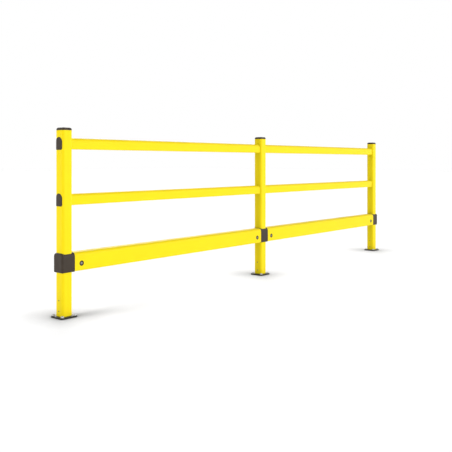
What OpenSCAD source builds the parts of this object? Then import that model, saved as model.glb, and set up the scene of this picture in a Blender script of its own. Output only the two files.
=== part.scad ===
// Modular flexible guard barrier: two equal bays between three bolted-down posts.
// The run lies along X and its front faces -Y. Z = 0 is the floor.
// The origin is on the floor, at the axis of the middle post.

/* [Run] */
// Distance between the axes of neighbouring posts
bay_pitch = 2000; // [1000:50:2600]
// Height of the hand rail's top above the floor
hand_rail_top = 1101; // [900:1:1350]
// Drop from the hand rail's top to the middle rail's top
rail_spacing = 345; // [220:1:420]
// Height of the impact rail's underside above the floor
impact_rail_z = 278; // [160:1:300]
// Height that the posts stand above the hand rail, under their caps
post_above_rail = 46; // [30:1:120]

/* [Posts] */
// Outer width of the square post
post_w = 76; // [70:1:92]
// Outer radius of the post's corners
post_corner_r = 18; // [12:1:22]
// Wall of the post
post_wall = 7; // [4:0.5:8]
// Height of the cap over the post's end
cap_h = 18; // [10:1:24]
// Radius that rounds the cap's top edge
cap_edge_r = 13; // [6:1:16]
// Depth of the cap's shank inside the post
cap_shank = 24; // [10:1:28]
// Wall of the hollow shanks of caps and plugs
shank_wall = 3; // [2:0.5:5]

/* [Hand rail and middle rail] */
// Width of the rail from front to back
rail_w = 50; // [36:1:50]
// Height of the rail, with its full round top
rail_h = 70; // [58:1:84]
// Wall of the rail
rail_wall = 5; // [3:0.5:6]
// Radius of the rail's bottom edges
rail_bottom_r = 6; // [3:0.5:9]
// Distance of the rail's open end behind the end post's outer face
rail_setback = 1; // [0.5:0.5:3]
// Gap between the two rails' ends inside the middle post
rail_joint = 2; // [1:0.5:10]
// Border of the end plug's flange around the rail
plug_border = 4.5; // [2:0.5:6]
// Thickness of the end plug's flange, which hugs the post's rounded outline
plug_flange = 2; // [1:0.5:4]
// Depth of the end plug's shank inside the rail
plug_shank = 26; // [10:1:40]

/* [Impact rail] */
// Height of the impact rail
impact_h = 117; // [98:1:140]
// Radius of the impact rail's top edges
impact_top_r = 24; // [14:1:28]
// Radius of the impact rail's bottom edges
impact_bottom_r = 8; // [5:0.5:14]
// Wall of the impact rail
impact_wall = 8; // [6:0.5:9]

/* [Collars] */
// Wall of the collar at the front and back of the post
collar_side_wall = 8.2; // [6:0.1:14]
// Wall of the collar at the post's other two faces, where the impact rails butt
collar_butt_wall = 9.2; // [8:0.1:20]
// Height that the collar's skin stands proud of the impact rail
collar_proud = 1.5; // [0.5:0.5:3]
// Radius of the end collar's outer upright edges
collar_end_r = 14; // [6:1:16]
// Radius of the end collar's outer top and bottom edges
collar_edge_r = 9; // [4:1:16]
// Length of the spigot that reaches from the collar into the rail
collar_spigot = 86; // [76:1:120]
// Wall of the collar's spigot
collar_spigot_wall = 6; // [4:0.5:9]

/* [Rail bolts] */
// Distance of the rail bolt from the impact rail's end
rail_bolt_inset = 51.5; // [36:0.5:60]
// Height of the rail bolt above the impact rail's underside
rail_bolt_z = 46; // [34:1:60]
// Diameter of the rail bolt's shank
rail_bolt_d = 10; // [8:1:12]
// Diameter of the rail bolt's domed head
rail_bolt_head_d = 16; // [14:0.5:19]
// Height of the rail bolt's domed head
rail_bolt_head_h = 6; // [2:0.5:8]
// Diameter of the hole for the bolt's cup
cup_d = 34; // [28:1:40]
// Wall of the cup
cup_wall = 3; // [2:0.5:4]
// Thickness of the cup's floor under the bolt's head
cup_floor = 5; // [2:0.5:6]

/* [Base plates] */
// Border of the square base plate around the post
plate_border = 20; // [19:0.5:40]
// Thickness of the base plate
plate_t = 10; // [6:1:15]
// Radius of the base plate's corners
plate_corner_r = 8; // [3:1:12]
// Height of the steel spigot inside the post, above the plate
spigot_h = 145; // [125:1:200]
// Wall of the steel spigot
spigot_wall = 5; // [3:0.5:8]
// Distance of the anchor bolts from the plate's edges
anchor_inset = 13; // [12:0.5:14]
// Diameter of the anchor bolts
anchor_d = 10; // [8:1:12]
// Width of the anchor's hexagon head across its flats
anchor_head_w = 16; // [13:1:18]
// Height of the anchor's hexagon head
anchor_head_h = 6.5; // [5:0.5:9]
// Diameter of the anchor's washer
washer_d = 22; // [19:1:23]
// Thickness of the anchor's washer
washer_t = 2; // [1:0.5:3]

/* [Post screws] */
// Height of the lower screw above the plate
screw_low = 31; // [20:1:50]
// Height of the upper screw above the plate
screw_high = 97; // [70:1:115]
// Diameter of the screw's shank
screw_d = 5; // [4:0.5:6]
// Diameter of the screw's domed head
screw_head_d = 8; // [7:0.5:12]
// Height of the screw's domed head
screw_head_h = 2; // [1:0.5:4]

/* [Fits] */
// Gap between a moulded or extruded piece and what it slides into, each side
slide_fit = 0.3; // [0.1:0.05:0.6]
// Gap between a bolt's or screw's shank and its hole, each side
bolt_fit = 0.4; // [0.2:0.05:0.8]

/* [Hidden] */
$fn = 64;

// Cuts run past the faces that they open by this much
over = 1;
// Least radius of an inner corner
least_r = 1;

post_x = [-bay_pitch, 0, bay_pitch];
post_top = hand_rail_top + post_above_rail;
hand_rail_z = hand_rail_top - rail_h;
mid_rail_z = hand_rail_z - rail_spacing;
post_bore_w = post_w - 2 * post_wall;
post_bore_r = post_corner_r - post_wall;

// Width of the impact rail from front to back
impact_w = post_w + 2 * (slide_fit + collar_side_wall - collar_proud);
// The impact rail butts against the collar's body at half its length
collar_len = post_w + 2 * (slide_fit + collar_butt_wall);
collar_half = collar_len / 2;
rail_bolt_x = collar_half + rail_bolt_inset;
bolt_z = impact_rail_z + rail_bolt_z;
// Face of the collar's spigot that the bolt cup seats on
cup_seat_y = impact_w / 2 - impact_wall - slide_fit;
cup_depth = impact_w / 2 - cup_seat_y;

plate_w = post_w + 2 * plate_border;
anchor_place = plate_w / 2 - anchor_inset;

yellow = "#ffe81a";
black = "#37332e";
steel_black = "#2b2927";
zinc = "#c9cac8";

// Square outline with rounded corners, centred
module rounded_square(side, r) {
    square([side, side - 2 * r], center = true);
    square([side - 2 * r, side], center = true);
    for (sx = [-1, 1], sy = [-1, 1])
        translate([sx * (side / 2 - r), sy * (side / 2 - r)])
            circle(r);
}

// Rail outline standing on the X axis: round edges of one radius above, another below
module rail_outline(w, h, top_r, bottom_r) {
    translate([-w / 2, bottom_r])
        square([w, h - top_r - bottom_r]);
    translate([-(w / 2 - bottom_r), 0])
        square([w - 2 * bottom_r, h / 2]);
    for (sx = [-1, 1])
        translate([sx * (w / 2 - bottom_r), bottom_r])
            circle(bottom_r);
    if (w > 2 * top_r)
        translate([-(w / 2 - top_r), h / 2])
            square([w - 2 * top_r, h / 2]);
    for (sx = [-1, 1])
        translate([sx * (w / 2 - top_r), h - top_r])
            circle(top_r);
}

// Outline of the hand and middle rails, grown outward or inward
module hand_outline(grow) {
    translate([0, -grow])
        rail_outline(rail_w + 2 * grow, rail_h + 2 * grow,
                     rail_w / 2 + grow, max(rail_bottom_r + grow, least_r));
}

// Outline of the impact rail, grown outward or inward
module impact_outline(grow) {
    translate([0, -grow])
        rail_outline(impact_w + 2 * grow, impact_h + 2 * grow,
                     impact_top_r + grow, max(impact_bottom_r + grow, least_r));
}

// Stretch of an outline along X, from one place to another
module along_run(from_x, to_x) {
    translate([from_x, 0, 0])
        rotate([90, 0, 90])
            linear_extrude(to_x - from_x)
                children();
}

// Cylinder along Y, centred on the run's plane
module across(d, len) {
    rotate([90, 0, 0])
        cylinder(d = d, h = len, center = true);
}

// Low domed head, flat side down
module domed_head(d, h) {
    dome_r = (d * d / 4 + h * h) / (2 * h);
    rotate_extrude()
        intersection() {
            translate([0, h - dome_r])
                circle(dome_r);
            square([d / 2, h]);
        }
}

module post(x) {
    color(yellow)
        translate([x, 0, 0])
            difference() {
                translate([0, 0, plate_t])
                    linear_extrude(post_top - plate_t)
                        difference() {
                            rounded_square(post_w, post_corner_r);
                            rounded_square(post_bore_w, post_bore_r);
                        }
                for (z = [hand_rail_z, mid_rail_z])
                    translate([0, 0, z])
                        along_run(-post_w / 2 - over, post_w / 2 + over)
                            hand_outline(slide_fit);
                for (z = [screw_low, screw_high])
                    translate([0, 0, plate_t + z])
                        rotate([0, 90, 0])
                            cylinder(d = screw_d + 2 * bolt_fit, h = post_w + 2 * over, center = true);
            }
}

// Side view of the cap standing on the X axis, with its top edges rounded
module cap_outline() {
    edge_r = min(cap_edge_r, cap_h - least_r);
    translate([-post_w / 2, 0])
        square([post_w, cap_h - edge_r]);
    translate([-(post_w / 2 - edge_r), 0])
        square([post_w - 2 * edge_r, cap_h]);
    for (sx = [-1, 1])
        translate([sx * (post_w / 2 - edge_r), cap_h - edge_r])
            circle(edge_r);
}

// Cap: a low pillow with the post's outline, on a hollow shank
module post_cap(x) {
    shank_w = post_bore_w - 2 * slide_fit;
    shank_r = post_bore_r - slide_fit;
    color(black)
        translate([x, 0, post_top]) {
            intersection() {
                linear_extrude(cap_h)
                    rounded_square(post_w, post_corner_r);
                rotate([90, 0, 0])
                    linear_extrude(post_w + 2 * over, center = true)
                        cap_outline();
                rotate([90, 0, 90])
                    linear_extrude(post_w + 2 * over, center = true)
                        cap_outline();
            }
            translate([0, 0, -cap_shank])
                linear_extrude(cap_shank)
                    difference() {
                        rounded_square(shank_w, shank_r);
                        rounded_square(shank_w - 2 * shank_wall, max(shank_r - shank_wall, least_r));
                    }
        }
}

// Base plate with the steel spigot that the post slides over
module base_plate(x) {
    tube_w = post_bore_w - 2 * slide_fit;
    tube_r = post_bore_r - slide_fit;
    color(steel_black)
        translate([x, 0, 0])
            difference() {
                union() {
                    linear_extrude(plate_t)
                        rounded_square(plate_w, plate_corner_r);
                    translate([0, 0, plate_t])
                        linear_extrude(spigot_h)
                            difference() {
                                rounded_square(tube_w, tube_r);
                                rounded_square(tube_w - 2 * spigot_wall, max(tube_r - spigot_wall, least_r));
                            }
                }
                for (sx = [-1, 1], sy = [-1, 1])
                    translate([sx * anchor_place, sy * anchor_place, -over])
                        cylinder(d = anchor_d + 2 * bolt_fit, h = plate_t + 2 * over);
                for (z = [screw_low, screw_high])
                    translate([0, 0, plate_t + z])
                        rotate([0, 90, 0])
                            cylinder(d = screw_d + 2 * bolt_fit, h = post_w, center = true);
            }
}

// Anchor: hexagon head and washer on the plate, shank down to the floor
module anchor_bolt() {
    cylinder(d = anchor_d, h = plate_t + washer_t);
    translate([0, 0, plate_t])
        cylinder(d = washer_d, h = washer_t);
    translate([0, 0, plate_t + washer_t])
        cylinder(d = anchor_head_w / cos(30), h = anchor_head_h, $fn = 6);
}

module anchor_bolts(x) {
    color(zinc)
        for (sx = [-1, 1], sy = [-1, 1])
            translate([x + sx * anchor_place, sy * anchor_place, 0])
                anchor_bolt();
}

// Screws through the post's two end faces into the steel spigot
module post_screws(x) {
    shank_len = post_wall + slide_fit + spigot_wall;
    color(steel_black)
        for (side = [-1, 1], z = [screw_low, screw_high])
            translate([x + side * post_w / 2, 0, plate_t + z])
                rotate([0, side * 90, 0]) {
                    domed_head(screw_head_d, screw_head_h);
                    translate([0, 0, -shank_len])
                        cylinder(d = screw_d, h = shank_len + screw_head_h / 4);
                }
}

// Hollow spigot of a collar, which the impact rail slides over
module collar_spigot(side) {
    bore_grow = -(impact_wall + slide_fit + collar_spigot_wall);
    difference() {
        mirror([side < 0 ? 1 : 0, 0, 0])
            translate([0, 0, impact_rail_z])
                difference() {
                    along_run(collar_half - over, collar_half + collar_spigot)
                        impact_outline(-(impact_wall + slide_fit));
                    along_run(collar_half, collar_half + collar_spigot + over)
                        impact_outline(bore_grow);
                }
        translate([side * rail_bolt_x, 0, bolt_z])
            across(rail_bolt_d + 2 * bolt_fit, impact_w);
    }
}

// Hole through a collar for the post
module post_passage() {
    translate([0, 0, impact_rail_z - collar_proud - over])
        linear_extrude(impact_h + 2 * collar_proud + 2 * over)
            rounded_square(post_w + 2 * slide_fit, post_corner_r + slide_fit);
}

module collar_middle() {
    color(black) {
        difference() {
            translate([0, 0, impact_rail_z])
                along_run(-collar_half, collar_half)
                    impact_outline(collar_proud);
            post_passage();
        }
        for (side = [-1, 1])
            collar_spigot(side);
    }
}

// Shape that rounds off a collar's closed end, seen along the upright or along Y
module closed_end_outline(len, w, r) {
    translate([-len / 2, -w / 2 + r])
        square([len, w - 2 * r]);
    translate([-len / 2 + r, -w / 2])
        square([len - r, w]);
    for (sy = [-1, 1])
        translate([-len / 2 + r, sy * (w / 2 - r)])
            circle(r);
}

// End collar, closed and rounded at the run's outer end; the left one has side = 1
module collar_end(x, side) {
    body_w = impact_w + 2 * collar_proud;
    body_h = impact_h + 2 * collar_proud;
    color(black)
        translate([x, 0, 0]) {
            difference() {
                mirror([side < 0 ? 1 : 0, 0, 0])
                    intersection() {
                        translate([0, 0, impact_rail_z])
                            along_run(-collar_half, collar_half)
                                impact_outline(collar_proud);
                        translate([0, 0, impact_rail_z - collar_proud])
                            linear_extrude(body_h)
                                closed_end_outline(collar_len, body_w, collar_end_r);
                        translate([0, 0, impact_rail_z + impact_h / 2])
                            rotate([90, 0, 0])
                                linear_extrude(body_w, center = true)
                                    closed_end_outline(collar_len, body_h, collar_edge_r);
                    }
                post_passage();
            }
            collar_spigot(side);
        }
}

// Impact rail between the collars of two neighbouring posts
module impact_rail(from_post, to_post) {
    color(yellow)
        difference() {
            translate([0, 0, impact_rail_z])
                along_run(from_post + collar_half, to_post - collar_half)
                    difference() {
                        impact_outline(0);
                        impact_outline(-impact_wall);
                    }
            for (x = [from_post + rail_bolt_x, to_post - rail_bolt_x])
                translate([x, 0, bolt_z])
                    across(cup_d, impact_w + 2 * over);
        }
}

// Hand or middle rail from one place to another
module plain_rail(from_x, to_x, z) {
    color(yellow)
        translate([0, 0, z])
            along_run(from_x, to_x)
                difference() {
                    hand_outline(0);
                    hand_outline(-rail_wall);
                }
}

// Place of a rail's open end in the outer wall of an end post
rail_end_x = bay_pitch + post_w / 2 - rail_setback;

module left_rail(z) {
    plain_rail(-rail_end_x, -rail_joint / 2, z);
}

module right_rail(z) {
    plain_rail(rail_joint / 2, rail_end_x, z);
}

// Plug in a rail's open end: its flange hugs the end post's outer face
module end_plug(side, z) {
    face_x = bay_pitch + post_w / 2;
    shank_grow = -(rail_wall + slide_fit);
    color(black)
        mirror([side < 0 ? 1 : 0, 0, 0])
            translate([0, 0, z]) {
                intersection() {
                    along_run(bay_pitch, face_x + plug_flange)
                        hand_outline(plug_border);
                    translate([bay_pitch, 0, -plug_border])
                        linear_extrude(rail_h + 2 * plug_border)
                            difference() {
                                rounded_square(post_w + 2 * plug_flange, post_corner_r + plug_flange);
                                rounded_square(post_w, post_corner_r);
                            }
                }
                difference() {
                    along_run(face_x - plug_shank, face_x)
                        hand_outline(shank_grow);
                    along_run(face_x - plug_shank - over, face_x - shank_wall)
                        hand_outline(shank_grow - shank_wall);
                }
            }
}

// Through bolt of the impact rail, with a domed head in each cup
module rail_bolt(x) {
    head_y = cup_seat_y + cup_floor;
    color(zinc)
        translate([x, 0, bolt_z]) {
            across(rail_bolt_d, 2 * head_y + rail_bolt_head_h / 2);
            for (side = [-1, 1])
                translate([0, side * head_y, 0])
                    rotate([-side * 90, 0, 0])
                        domed_head(rail_bolt_head_d, rail_bolt_head_h);
        }
}

// Cups that line the bolt's holes in the rail's front and back
module bolt_cups(x) {
    cup_outer_d = cup_d - 2 * slide_fit;
    color(black)
        for (side = [-1, 1])
            translate([x, side * cup_seat_y, bolt_z])
                rotate([-side * 90, 0, 0])
                    difference() {
                        cylinder(d = cup_outer_d, h = cup_depth);
                        translate([0, 0, cup_floor])
                            cylinder(d = cup_outer_d - 2 * cup_wall, h = cup_depth);
                        translate([0, 0, -over])
                            cylinder(d = rail_bolt_d + 2 * bolt_fit, h = cup_depth);
                    }
}

post(post_x[0]);  // post_left
post(post_x[1]);  // post_middle
post(post_x[2]);  // post_right
post_cap(post_x[0]);  // post_cap_left
post_cap(post_x[1]);  // post_cap_middle
post_cap(post_x[2]);  // post_cap_right
base_plate(post_x[0]);  // base_plate_left
base_plate(post_x[1]);  // base_plate_middle
base_plate(post_x[2]);  // base_plate_right
anchor_bolts(post_x[0]);  // anchor_bolts_left
anchor_bolts(post_x[1]);  // anchor_bolts_middle
anchor_bolts(post_x[2]);  // anchor_bolts_right
post_screws(post_x[0]);  // post_screws_left
post_screws(post_x[1]);  // post_screws_middle
post_screws(post_x[2]);  // post_screws_right
collar_end(post_x[0], 1);  // collar_left
collar_middle();
collar_end(post_x[2], -1);  // collar_right
impact_rail(post_x[0], post_x[1]);  // impact_rail_left
impact_rail(post_x[1], post_x[2]);  // impact_rail_right
left_rail(hand_rail_z);  // hand_rail_left
right_rail(hand_rail_z);  // hand_rail_right
left_rail(mid_rail_z);  // mid_rail_left
right_rail(mid_rail_z);  // mid_rail_right
end_plug(-1, hand_rail_z);  // hand_rail_plug_left
end_plug(1, hand_rail_z);  // hand_rail_plug_right
end_plug(-1, mid_rail_z);  // mid_rail_plug_left
end_plug(1, mid_rail_z);  // mid_rail_plug_right
rail_bolt(post_x[0] + rail_bolt_x);  // rail_bolt_left_outer
rail_bolt(post_x[1] - rail_bolt_x);  // rail_bolt_left_inner
rail_bolt(post_x[1] + rail_bolt_x);  // rail_bolt_right_inner
rail_bolt(post_x[2] - rail_bolt_x);  // rail_bolt_right_outer
bolt_cups(post_x[0] + rail_bolt_x);  // bolt_cups_left_outer
bolt_cups(post_x[1] - rail_bolt_x);  // bolt_cups_left_inner
bolt_cups(post_x[1] + rail_bolt_x);  // bolt_cups_right_inner
bolt_cups(post_x[2] - rail_bolt_x);  // bolt_cups_right_outer
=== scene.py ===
"""Looks of a modular flexible barrier: three posts, two bays of rails and their fittings.

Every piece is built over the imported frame, takes its place from it and keeps inside its box.
"""

import logging
import math
from dataclasses import dataclass
from enum import Enum
from typing import Callable, Iterable, Sequence

import bpy
import bmesh
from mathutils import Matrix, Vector


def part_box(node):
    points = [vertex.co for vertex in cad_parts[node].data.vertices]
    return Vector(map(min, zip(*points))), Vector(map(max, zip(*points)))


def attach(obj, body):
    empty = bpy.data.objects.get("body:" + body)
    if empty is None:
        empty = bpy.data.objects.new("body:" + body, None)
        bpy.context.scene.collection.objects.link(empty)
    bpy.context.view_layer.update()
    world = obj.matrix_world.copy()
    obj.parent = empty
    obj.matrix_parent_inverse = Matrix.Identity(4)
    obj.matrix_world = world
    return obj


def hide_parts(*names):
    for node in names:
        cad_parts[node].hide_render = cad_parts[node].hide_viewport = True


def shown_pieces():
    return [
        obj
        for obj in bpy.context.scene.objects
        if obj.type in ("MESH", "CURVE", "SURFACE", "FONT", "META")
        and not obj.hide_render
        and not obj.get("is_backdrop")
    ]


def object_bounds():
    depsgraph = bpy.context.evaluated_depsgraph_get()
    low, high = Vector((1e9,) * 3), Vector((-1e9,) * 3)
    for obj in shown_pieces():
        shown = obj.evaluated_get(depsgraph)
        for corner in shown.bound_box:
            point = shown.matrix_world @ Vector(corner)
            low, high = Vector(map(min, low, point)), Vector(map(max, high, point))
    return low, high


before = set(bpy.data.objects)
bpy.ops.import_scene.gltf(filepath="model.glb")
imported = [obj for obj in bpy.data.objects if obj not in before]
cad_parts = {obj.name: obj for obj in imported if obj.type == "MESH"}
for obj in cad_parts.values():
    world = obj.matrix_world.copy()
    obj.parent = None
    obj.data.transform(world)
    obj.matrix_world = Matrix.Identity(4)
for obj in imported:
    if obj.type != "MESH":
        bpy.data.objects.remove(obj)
FRAME_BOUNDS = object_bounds()

log = logging.getLogger("barrier")

MM = 0.001
SEED = 7

Point = tuple[float, float, float]
Colour = tuple[float, float, float]
Section = list[Point]
Rows = list[tuple[float, float]]

EVEN = (1.0, 1.0, 1.0)


class Station(Enum):
    """The three posts of the row."""

    LEFT = "left"
    MIDDLE = "middle"
    RIGHT = "right"


class Axis(Enum):
    """The way a profile runs."""

    X = "x"
    Y = "y"
    Z = "z"


class Grain(Enum):
    """Direction of the fine drawing lines that an extruded profile keeps."""

    RUN = (2.0, 260.0, 260.0)
    UPRIGHT = (260.0, 260.0, 2.0)


# ---------------------------------------------------------------- outlines and lofts


@dataclass(frozen=True)
class Outline:
    """A closed outline with rounded corners, always cut into the same number of points.

    Attributes:
        width: size across, in metres.
        height: size upward, in metres.
        top_r: radius of the two upper corners.
        low_r: radius of the two lower corners.
        steps: pieces that each corner is cut into.
    """

    width: float
    height: float
    top_r: float
    low_r: float
    steps: int = 12

    def points(self, grow: float = 0.0, rise: float | None = None) -> Rows:
        """Returns the outline's points about its centre, counter-clockwise.

        Args:
            grow: how far the sides stand outside the outline, inside when negative.
            rise: the same for the top and the underside, equal to grow when left out.

        Returns:
            Pairs of across and upward coordinates.
        """
        rise = grow if rise is None else rise
        half_w = max(self.width / 2 + grow, 0.1 * MM)
        half_h = max(self.height / 2 + rise, 0.1 * MM)
        limit = min(half_w, half_h)
        change = min(grow, rise)
        corners = (
            (1, 1, self.top_r, 0.0),
            (-1, 1, self.top_r, 90.0),
            (-1, -1, self.low_r, 180.0),
            (1, -1, self.low_r, 270.0),
        )
        found = []
        for side, level, radius, start in corners:
            r = min(max(radius + change, 0.05 * MM), limit)
            for step in range(self.steps + 1):
                angle = math.radians(start + 90.0 * step / self.steps)
                across = side * (half_w - r) + r * math.cos(angle)
                upward = level * (half_h - r) + r * math.sin(angle)
                found.append((across, upward))
        return found


@dataclass(frozen=True)
class Polygon:
    """A regular outline for round and hexagonal hardware.

    Attributes:
        across: distance between flats, or the diameter of a round.
        sides: number of sides.
    """

    across: float
    sides: int = 48

    def points(self, grow: float = 0.0, rise: float | None = None) -> Rows:
        """Returns the outline's points about its centre, counter-clockwise.

        Args:
            grow: how far the sides stand outside the outline, inside when negative.
            rise: not used, the outline grows evenly.

        Returns:
            Pairs of coordinates.
        """
        radius = max(self.across / 2 + grow, 0.05 * MM)
        if self.sides < 12:
            radius /= math.cos(math.pi / self.sides)
        turns = (2 * math.pi * (k + 0.5) / self.sides for k in range(self.sides))
        return [(radius * math.cos(a), radius * math.sin(a)) for a in turns]


def place(axis: Axis, across: float, upward: float, along: float) -> Point:
    """Puts an outline point and its position along the run into the frame.

    Args:
        axis: the way the profile runs.
        across: first coordinate of the outline.
        upward: second coordinate of the outline.
        along: position on the axis.

    Returns:
        The point in the frame.
    """
    if axis is Axis.X:
        return (along, across, upward)
    if axis is Axis.Y:
        return (across, along, upward)
    return (across, upward, along)


def sections(
    outline: Outline | Polygon,
    axis: Axis,
    rows: Iterable[tuple[float, float]],
    centre: Point = (0.0, 0.0, 0.0),
) -> list[Section]:
    """Lays an outline along an axis.

    Args:
        outline: the outline to lay.
        axis: the way the profile runs.
        rows: pairs of growth and position along the axis, in order.
        centre: where the outline's centre line passes.

    Returns:
        One section for each row.
    """
    laid = []
    for grow, along in rows:
        ring = []
        for across, upward in outline.points(grow):
            x, y, z = place(axis, across, upward, along)
            ring.append((x + centre[0], y + centre[1], z + centre[2]))
        laid.append(ring)
    return laid


def lip(
    radius: float, grow: float, edge: float, outward: int, face: int, steps: int = 4
) -> Rows:
    """Rows of a quarter round at an edge, from the side wall to the end face.

    Args:
        radius: radius of the edge.
        grow: growth of the wall that the edge belongs to.
        edge: position of the end face.
        outward: 1 on an outer wall, -1 on the wall of a bore.
        face: 1 when the face looks along the axis, -1 when it looks back.
        steps: pieces that the quarter is cut into.

    Returns:
        Pairs of growth and position.
    """
    rows = []
    for step in range(steps + 1):
        angle = math.radians(90.0 * step / steps)
        inset = radius * (1 - math.cos(angle))
        back = radius * (1 - math.sin(angle))
        rows.append((grow - outward * inset, edge - face * back))
    return rows


def tube_rows(start: float, end: float, wall: float, edge_r: float) -> Rows:
    """Rows of a tube with softened ends, going round its wall and back to where they began.

    Args:
        start: position of the near end.
        end: position of the far end.
        wall: thickness of the wall.
        edge_r: radius of the four edges.

    Returns:
        Pairs of growth and position.
    """
    near_out = lip(edge_r, 0.0, start, 1, -1)[::-1]
    far_out = lip(edge_r, 0.0, end, 1, 1)
    far_in = lip(edge_r, -wall, end, -1, 1)[::-1]
    near_in = lip(edge_r, -wall, start, -1, -1)
    return near_out + far_out + far_in + near_in


def bar_rows(start: float, end: float, start_r: float, end_r: float, steps: int = 5) -> Rows:
    """Rows of a solid bar or plate whose two ends have edges of their own radius."""
    near = lip(start_r, 0.0, start, 1, -1, steps)[::-1]
    return near + lip(end_r, 0.0, end, 1, 1, steps)


class Shell:
    """A mesh in the making, gathered from lofted parts."""

    def __init__(self, name: str) -> None:
        """Starts an empty shell under the piece's name."""
        self.name = name
        self.mesh = bmesh.new()

    @classmethod
    def reopen(cls, piece: bpy.types.Object) -> "Shell":
        """Takes a finished object back into the making under its own name.

        Args:
            piece: the object, which is removed.

        Returns:
            A shell with the object's mesh.
        """
        shell = cls(piece.name)
        shell.mesh.from_mesh(piece.data)
        bpy.data.objects.remove(piece)
        return shell

    def loft(self, rings: Sequence[Section], ring_shut: bool = False) -> "Shell":
        """Skins a row of sections with the same number of points.

        Args:
            rings: the sections in order.
            ring_shut: True where the last section joins the first, as in a tube wall.

        Returns:
            This shell.
        """
        rows = [[self.mesh.verts.new(point) for point in ring] for ring in rings]
        count = len(rows[0])
        pairs = list(zip(rows, rows[1:]))
        if ring_shut:
            pairs.append((rows[-1], rows[0]))
        for near, far in pairs:
            for k in range(count):
                after = (k + 1) % count
                self.mesh.faces.new((near[k], near[after], far[after], far[k]))
        if not ring_shut:
            self.mesh.faces.new(rows[0][::-1])
            self.mesh.faces.new(rows[-1])
        return self

    def finish(self, smooth_below: float = 32.0) -> bpy.types.Object:
        """Closes the shell into an object with clean normals.

        Args:
            smooth_below: edges that turn less than this many degrees are shaded smooth.

        Returns:
            The object, linked to the scene.
        """
        bmesh.ops.remove_doubles(self.mesh, verts=self.mesh.verts, dist=0.001 * MM)
        bmesh.ops.recalc_face_normals(self.mesh, faces=self.mesh.faces)
        data = bpy.data.meshes.new(self.name)
        self.mesh.to_mesh(data)
        self.mesh.free()
        data.polygons.foreach_set("use_smooth", [True] * len(data.polygons))
        data.set_sharp_from_angle(angle=math.radians(smooth_below))
        made = bpy.data.objects.new(self.name, data)
        bpy.context.scene.collection.objects.link(made)
        return made


def freeze(piece: bpy.types.Object) -> bpy.types.Object:
    """Keeps what the modifiers make as the piece's own mesh and takes the modifiers off.

    Args:
        piece: the object with its modifiers.

    Returns:
        The same object.
    """
    bpy.context.view_layer.update()
    graph = bpy.context.evaluated_depsgraph_get()
    made = bpy.data.meshes.new_from_object(piece.evaluated_get(graph), depsgraph=graph)
    piece.modifiers.clear()
    old = piece.data
    piece.data = made
    bpy.data.meshes.remove(old)
    made.name = piece.name
    return piece


def settle(piece: bpy.types.Object) -> bpy.types.Object:
    """Evens the shading of flat faces beside rounded ones and freezes the result.

    Args:
        piece: the object to settle.

    Returns:
        The same object.
    """
    even = piece.modifiers.new("Even", "WEIGHTED_NORMAL")
    even.keep_sharp = True
    even.weight = 100
    return freeze(piece)


def rod(
    outline: Outline | Polygon,
    axis: Axis,
    start: float,
    end: float,
    centre: Point,
    grow: float = 0.0,
) -> bpy.types.Object:
    """Makes a straight solid to cut with, whose sides stand outside the outline by grow."""
    rows = [(grow, start), (grow, end)]
    return Shell("cutter").loft(sections(outline, axis, rows, centre)).finish()


def drop(spare: bpy.types.Object) -> None:
    """Removes an object that was only needed on the way.

    Args:
        spare: the object, which goes with its mesh.
    """
    data = spare.data
    bpy.data.objects.remove(spare)
    bpy.data.meshes.remove(data)


def cut(
    piece: bpy.types.Object, cutters: Sequence[bpy.types.Object], smooth_below: float = 32.0
) -> bpy.types.Object:
    """Takes cutters out of a piece and removes them.

    Args:
        piece: the object to cut.
        cutters: closed objects.
        smooth_below: edges that turn less than this many degrees stay smooth.

    Returns:
        The piece, cut and frozen.
    """
    for cutter in cutters:
        opening = piece.modifiers.new("Opening", "BOOLEAN")
        opening.operation = "DIFFERENCE"
        opening.solver = "EXACT"
        opening.object = cutter
    freeze(piece)
    for cutter in cutters:
        drop(cutter)
    piece.data.polygons.foreach_set("use_smooth", [True] * len(piece.data.polygons))
    piece.data.set_sharp_from_angle(angle=math.radians(smooth_below))
    return piece


# ---------------------------------------------------------------- finishes


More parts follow.
